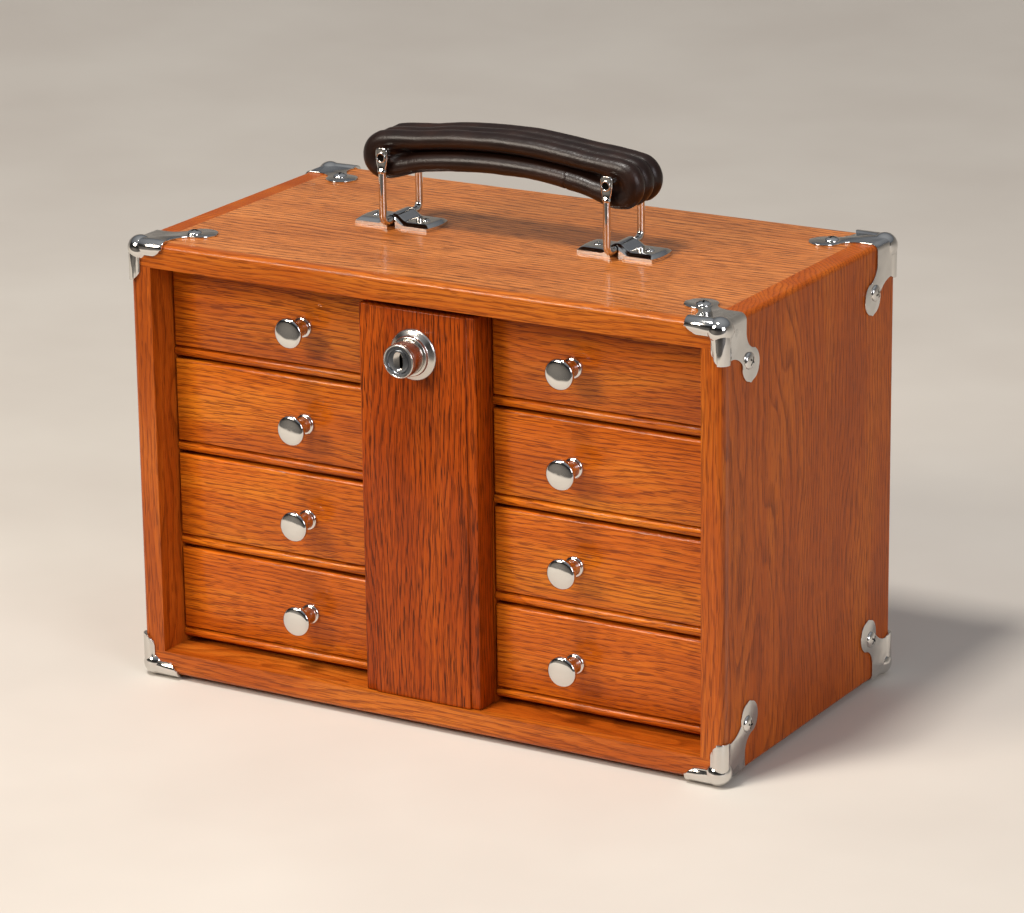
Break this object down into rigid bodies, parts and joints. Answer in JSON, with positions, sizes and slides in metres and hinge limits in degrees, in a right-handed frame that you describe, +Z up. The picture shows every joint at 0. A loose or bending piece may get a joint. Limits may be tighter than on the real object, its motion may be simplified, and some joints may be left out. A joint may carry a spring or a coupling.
{
  "type": "machinist tool chest",
  "caption": "Small oak machinist chest: drawers in two columns behind a centre locking bar with a cylinder lock, nickel corner brackets and a leather grip on wire bails.",
  "frame": {"origin": "under the middle of the whole chest, in the plane of the four screw heads it stands on", "axes": "+X to the right of the front, +Y from the front to the back, +Z up"},
  "size_m": [0.376, 0.219, 0.3166],
  "materials": {
    "oak_case": "clear gloss finish on honey oak",
    "oak_top": "clear gloss finish on honey oak",
    "oak_lipping": "clear gloss finish on honey oak",
    "oak_inner": "satin finish on oak",
    "oak_front": "clear gloss finish on honey oak",
    "oak_bar": "clear gloss finish on honey oak",
    "drawer_wood": "plain sanded wood",
    "felt": "short felt",
    "nickel": "polished nickel",
    "steel": "satin",
    "brown_leather": "waxed dark brown"
  },
  "bodies": {
    "case_body": {"case_side_left": "oak_case", "case_side_right": "oak_case", "case_top": "oak_top", "case_bottom": "oak_case", "case_back": "oak_inner", "front_rails": "oak_lipping", "front_stiles": "oak_lipping", "case_partitions": "oak_inner", "centre_post": "oak_inner", "drawer_runners": "oak_inner", "brackets_lower_front": "nickel", "brackets_lower_rear": "nickel", "brackets_upper_front": "nickel", "brackets_upper_rear": "nickel", "bracket_screws": "nickel", "bracket_feet": "nickel", "handle_plates": "nickel", "handle_plate_screws": "nickel"},
    "drawer_left_1": {"drawer_left_1_front": "oak_front", "drawer_left_1_box": "drawer_wood", "drawer_left_1_lining": "felt", "drawer_left_1_knob": "nickel"},
    "drawer_right_1": {"drawer_right_1_front": "oak_front", "drawer_right_1_box": "drawer_wood", "drawer_right_1_lining": "felt", "drawer_right_1_knob": "nickel"},
    "drawer_left_2": {"drawer_left_2_front": "oak_front", "drawer_left_2_box": "drawer_wood", "drawer_left_2_lining": "felt", "drawer_left_2_knob": "nickel"},
    "drawer_right_2": {"drawer_right_2_front": "oak_front", "drawer_right_2_box": "drawer_wood", "drawer_right_2_lining": "felt", "drawer_right_2_knob": "nickel"},
    "drawer_left_3": {"drawer_left_3_front": "oak_front", "drawer_left_3_box": "drawer_wood", "drawer_left_3_lining": "felt", "drawer_left_3_knob": "nickel"},
    "drawer_right_3": {"drawer_right_3_front": "oak_front", "drawer_right_3_box": "drawer_wood", "drawer_right_3_lining": "felt", "drawer_right_3_knob": "nickel"},
    "drawer_left_4": {"drawer_left_4_front": "oak_front", "drawer_left_4_box": "drawer_wood", "drawer_left_4_lining": "felt", "drawer_left_4_knob": "nickel"},
    "drawer_right_4": {"drawer_right_4_front": "oak_front", "drawer_right_4_box": "drawer_wood", "drawer_right_4_lining": "felt", "drawer_right_4_knob": "nickel"},
    "bar": {"locking_bar": "oak_bar", "bar_pins": "steel", "lock_barrel": "nickel", "lock_nut": "steel"},
    "plug": {"lock_plug": "steel", "lock_cam": "steel"},
    "left_bail": {"bail_left": "nickel"},
    "right_bail": {"bail_right": "nickel"},
    "handle_grip": {"grip": "brown_leather", "grip_rivets": "nickel"}
  },
  "joints": [
    {"name": "drawer_left_1_slide", "type": "slide", "parent": "case_body", "child": "drawer_left_1", "axis": [0, -1, 0], "range_m": [0, 0.125]},
    {"name": "drawer_right_1_slide", "type": "slide", "parent": "case_body", "child": "drawer_right_1", "axis": [0, -1, 0], "range_m": [0, 0.125]},
    {"name": "drawer_left_2_slide", "type": "slide", "parent": "case_body", "child": "drawer_left_2", "axis": [0, -1, 0], "range_m": [0, 0.125]},
    {"name": "drawer_right_2_slide", "type": "slide", "parent": "case_body", "child": "drawer_right_2", "axis": [0, -1, 0], "range_m": [0, 0.125]},
    {"name": "drawer_left_3_slide", "type": "slide", "parent": "case_body", "child": "drawer_left_3", "axis": [0, -1, 0], "range_m": [0, 0.125]},
    {"name": "drawer_right_3_slide", "type": "slide", "parent": "case_body", "child": "drawer_right_3", "axis": [0, -1, 0], "range_m": [0, 0.125]},
    {"name": "drawer_left_4_slide", "type": "slide", "parent": "case_body", "child": "drawer_left_4", "axis": [0, -1, 0], "range_m": [0, 0.125]},
    {"name": "drawer_right_4_slide", "type": "slide", "parent": "case_body", "child": "drawer_right_4", "axis": [0, -1, 0], "range_m": [0, 0.125]},
    {"name": "bar_slide", "type": "slide", "parent": "case_body", "child": "bar", "axis": [0, -1, 0], "range_m": [0, 0.06]},
    {"name": "plug_turn", "type": "hinge", "parent": "bar", "child": "plug", "pos_m": [-0.003, -0.0935, 0.2135], "axis": [0, -1, 0], "range_deg": [0, 90]},
    {"name": "bail_left_hinge", "type": "hinge", "parent": "case_body", "child": "left_bail", "pos_m": [-0.071, 0.006, 0.2596], "axis": [0, 1, 0], "range_deg": [-60, 60]},
    {"name": "bail_right_hinge", "type": "hinge", "parent": "case_body", "child": "right_bail", "pos_m": [0.071, 0.006, 0.2596], "axis": [0, 1, 0], "range_deg": [-60, 60]},
    {"name": "grip_hinge", "type": "hinge", "parent": "left_bail", "child": "handle_grip", "pos_m": [-0.071, 0.006, 0.2972], "axis": [0, 1, 0], "range_deg": [-60, 60]}
  ],
  "couplings": [
    {"joint": "bail_right_hinge", "follows": "bail_left_hinge", "ratio": 1},
    {"joint": "grip_hinge", "follows": "bail_left_hinge", "ratio": -1}
  ]
}
